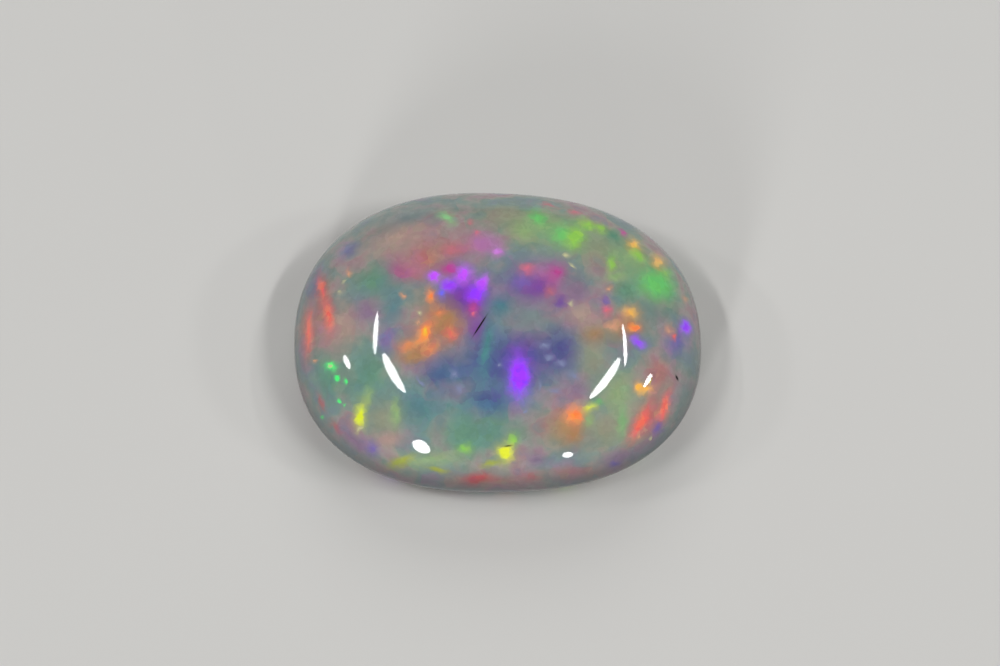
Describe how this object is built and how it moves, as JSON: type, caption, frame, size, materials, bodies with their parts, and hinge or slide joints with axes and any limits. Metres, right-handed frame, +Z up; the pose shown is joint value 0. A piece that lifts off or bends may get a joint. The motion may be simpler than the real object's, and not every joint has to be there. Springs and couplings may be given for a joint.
{
  "type": "opal cabochon",
  "caption": "Polished oval opal cabochon with a domed crown, a rounded girdle and a flat base, milky with play of colour.",
  "frame": {"origin": "on the flat base, under the middle of the stone's oval", "axes": "+X along the length, +Y across the width, +Z up from the flat base through the dome"},
  "size_m": [0.016, 0.0122, 0.0052],
  "materials": {
    "opal": "polished"
  },
  "bodies": {
    "root": {"opal": "opal"}
  },
  "joints": []
}
